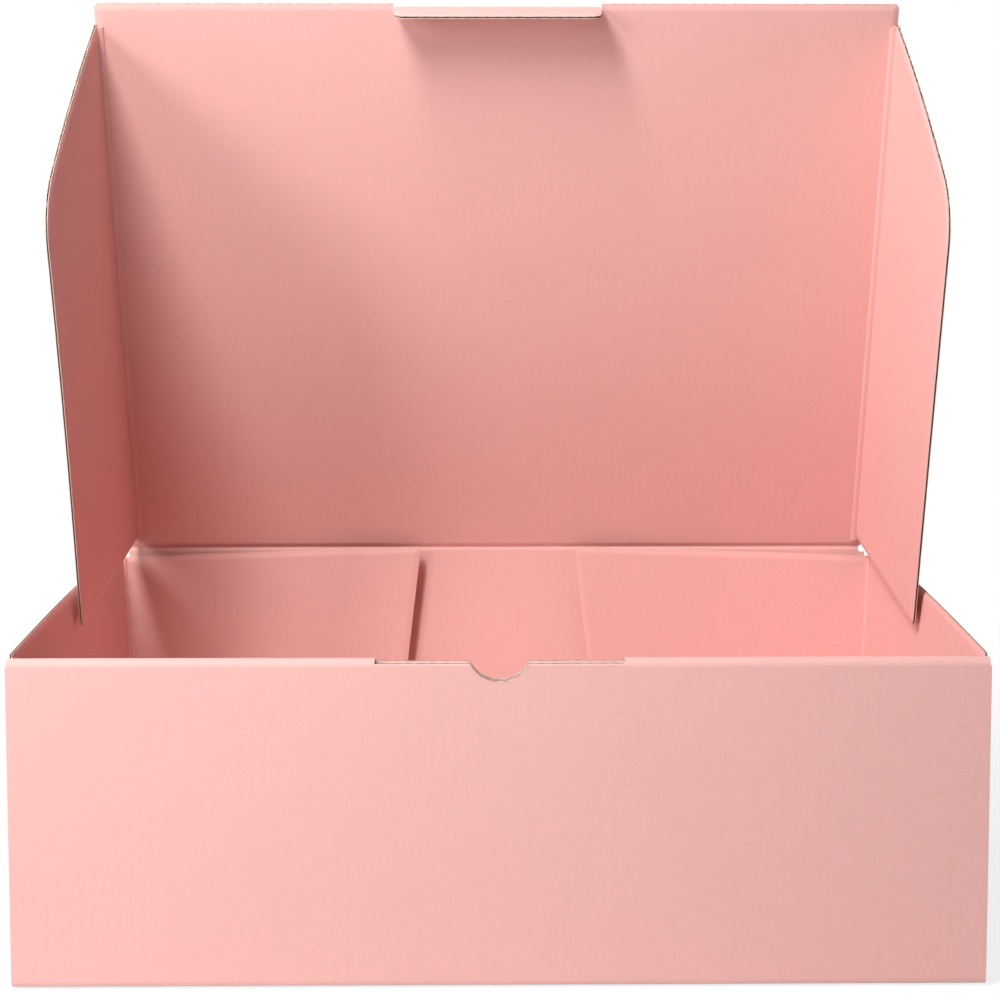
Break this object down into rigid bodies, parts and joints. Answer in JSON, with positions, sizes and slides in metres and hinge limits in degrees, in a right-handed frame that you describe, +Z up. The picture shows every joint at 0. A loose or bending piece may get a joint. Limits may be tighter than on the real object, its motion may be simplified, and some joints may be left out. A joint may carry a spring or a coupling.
{
  "type": "corrugated mailer box",
  "caption": "Open folded corrugated mailer box with a hinged lid, tucked side ears, a front tuck flap and a slotted roll-over front wall with a thumb notch.",
  "frame": {"origin": "centre of the base's underside, on the surface that the box stands on", "axes": "+X across the width to the right seen from the front, +Y from the front wall towards the lid's hinge, +Z up"},
  "size_m": [0.2844, 0.2066, 0.2872],
  "materials": {
    "pink_board": "matte"
  },
  "bodies": {
    "tray": {"tray": "pink_board"},
    "lid": {"lid": "pink_board"},
    "tuck_flap": {"tuck_flap": "pink_board"}
  },
  "joints": [
    {"name": "lid_hinge", "type": "hinge", "parent": "tray", "child": "lid", "pos_m": [0, 0.1025, 0.0941], "axis": [-1, 0, 0], "range_deg": [-70.5, 109.5]},
    {"name": "tuck_fold", "type": "hinge", "parent": "lid", "child": "tuck_flap", "pos_m": [0, 0.0347, 0.28555], "axis": [-1, 0, 0], "range_deg": [0, 90]}
  ]
}
